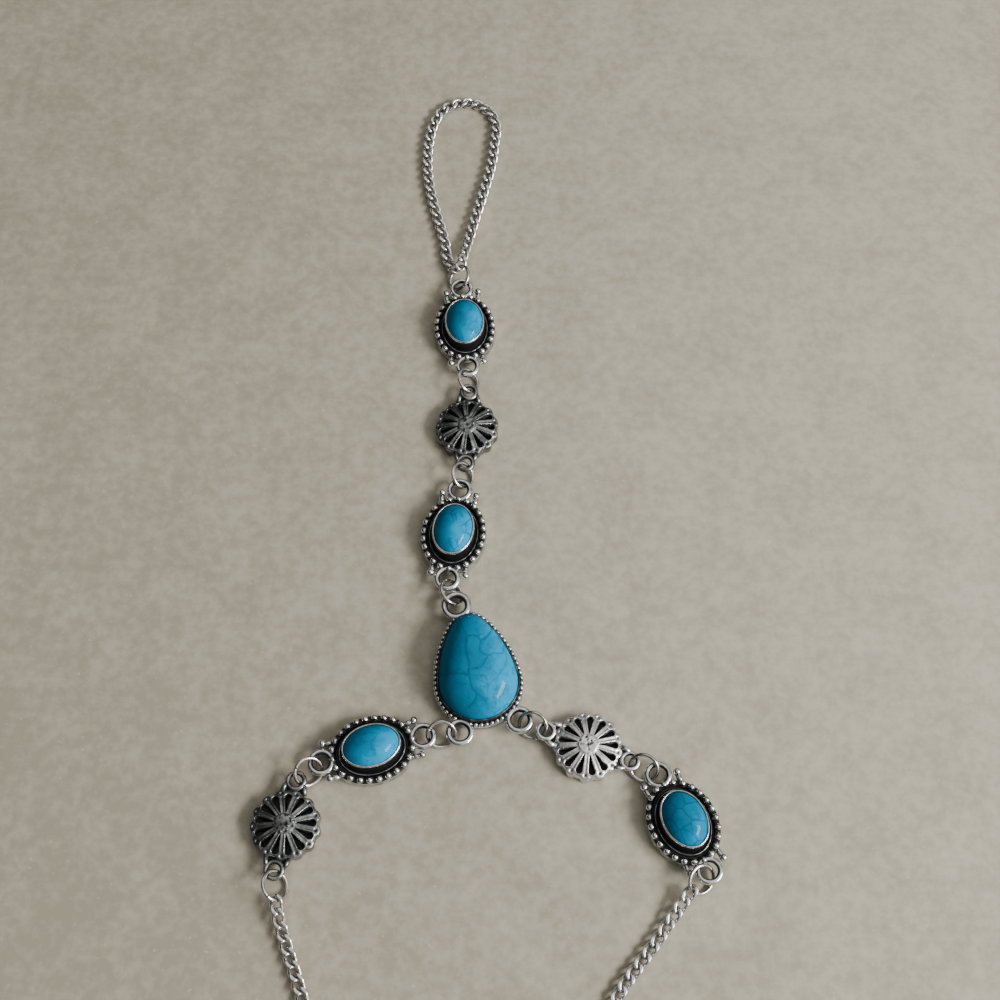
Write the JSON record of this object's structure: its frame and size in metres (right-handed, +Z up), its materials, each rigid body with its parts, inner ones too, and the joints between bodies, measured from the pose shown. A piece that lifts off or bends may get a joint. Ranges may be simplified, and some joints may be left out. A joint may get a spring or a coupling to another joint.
{
  "type": "hand chain bracelet",
  "caption": "Hand chain bracelet of antiqued silver with a pear and oval turquoise stones, daisies, a finger loop of curb chain and a wrist chain.",
  "frame": {"origin": "middle of the pear setting's round end, on its flat back, where the bracelet rests", "axes": "+Z up from the surface it lies on, through the pear stone; +Y from the wrist clasp towards the finger loop; +X to the right seen from above"},
  "size_m": [0.0579, 0.1636, 0.0056],
  "materials": {
    "silver": "antiqued silver, polished edges with black in the recesses",
    "turquoise": "polished turquoise with dark veins"
  },
  "bodies": {
    "root": {"pear_setting": "silver", "pear_stone": "turquoise", "oval_setting_1": "silver", "oval_stone_1": "turquoise", "oval_setting_2": "silver", "oval_stone_2": "turquoise", "oval_setting_3": "silver", "oval_stone_3": "turquoise", "oval_setting_4": "silver", "oval_stone_4": "turquoise", "daisy_1": "silver", "daisy_2": "silver", "daisy_3": "silver", "jump_ring_1": "silver", "jump_ring_2": "silver", "jump_ring_3": "silver", "jump_ring_4": "silver", "jump_ring_5": "silver", "jump_ring_6": "silver", "jump_ring_7": "silver", "jump_ring_8": "silver", "jump_ring_9": "silver", "jump_ring_10": "silver", "jump_ring_11": "silver", "jump_ring_12": "silver", "finger_chain": "silver", "wrist_chain_left": "silver", "wrist_chain_right": "silver", "clasp": "silver"}
  },
  "joints": []
}
